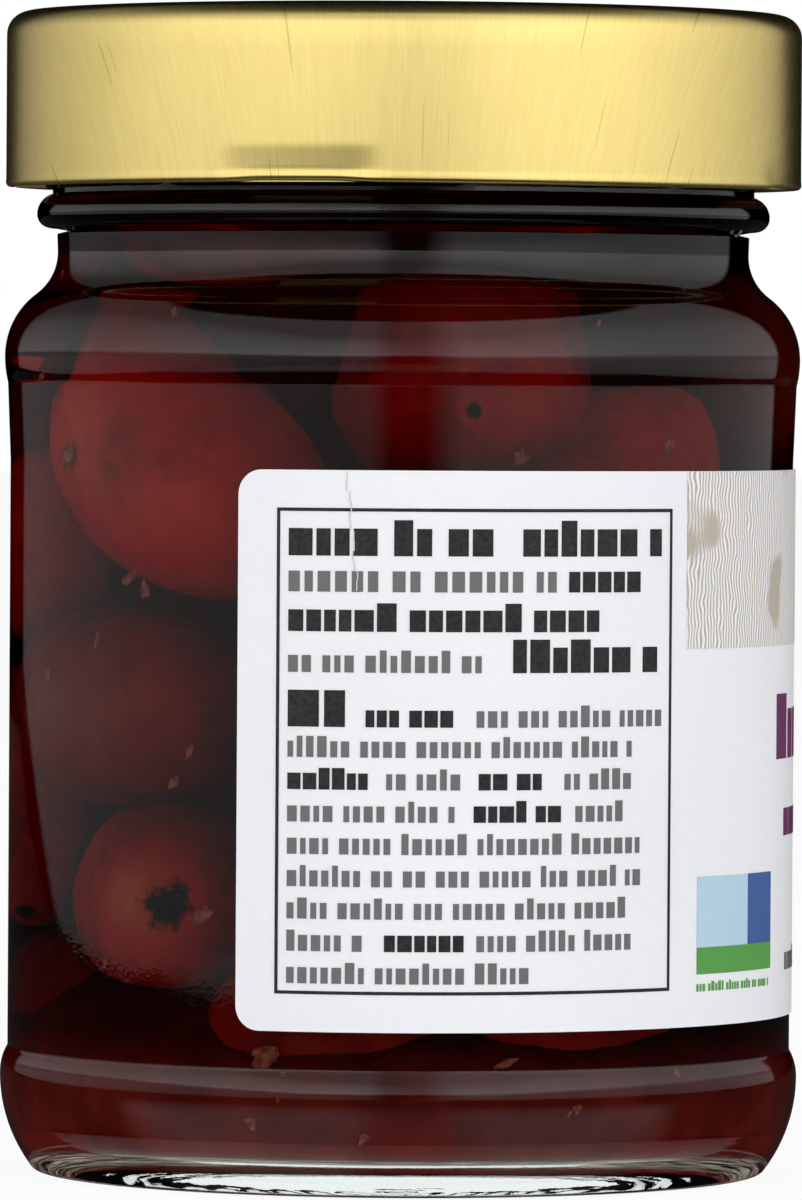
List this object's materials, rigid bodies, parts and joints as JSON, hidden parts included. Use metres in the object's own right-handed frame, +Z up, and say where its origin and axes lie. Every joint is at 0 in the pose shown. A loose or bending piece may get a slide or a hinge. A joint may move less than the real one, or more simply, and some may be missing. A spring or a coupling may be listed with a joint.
{
  "type": "jar of olives",
  "caption": "Sealed clear glass jar of dark olives in brine, with a gold twist-off lid and a white paper label wrapped round the body.",
  "frame": {"origin": "centre of the foot, on the surface that the jar stands on", "axes": "+Z up along the jar's axis, -Y towards the viewer, with the label's left end just left of the middle"},
  "size_m": [0.0668, 0.0668, 0.0967],
  "materials": {
    "glass": "clear moulded soda-lime glass",
    "tinplate": "gold lacquer over brushed tinplate, semi-gloss",
    "paper": "white coated paper with black and plum print shapes, satin",
    "brine": "dark reddish-brown brine, clear",
    "olive": "dark purple-brown olive skin, wet"
  },
  "bodies": {
    "root": {"jar": "glass", "lid": "tinplate", "label": "paper", "brine": "brine", "olives": "olive"}
  },
  "joints": []
}
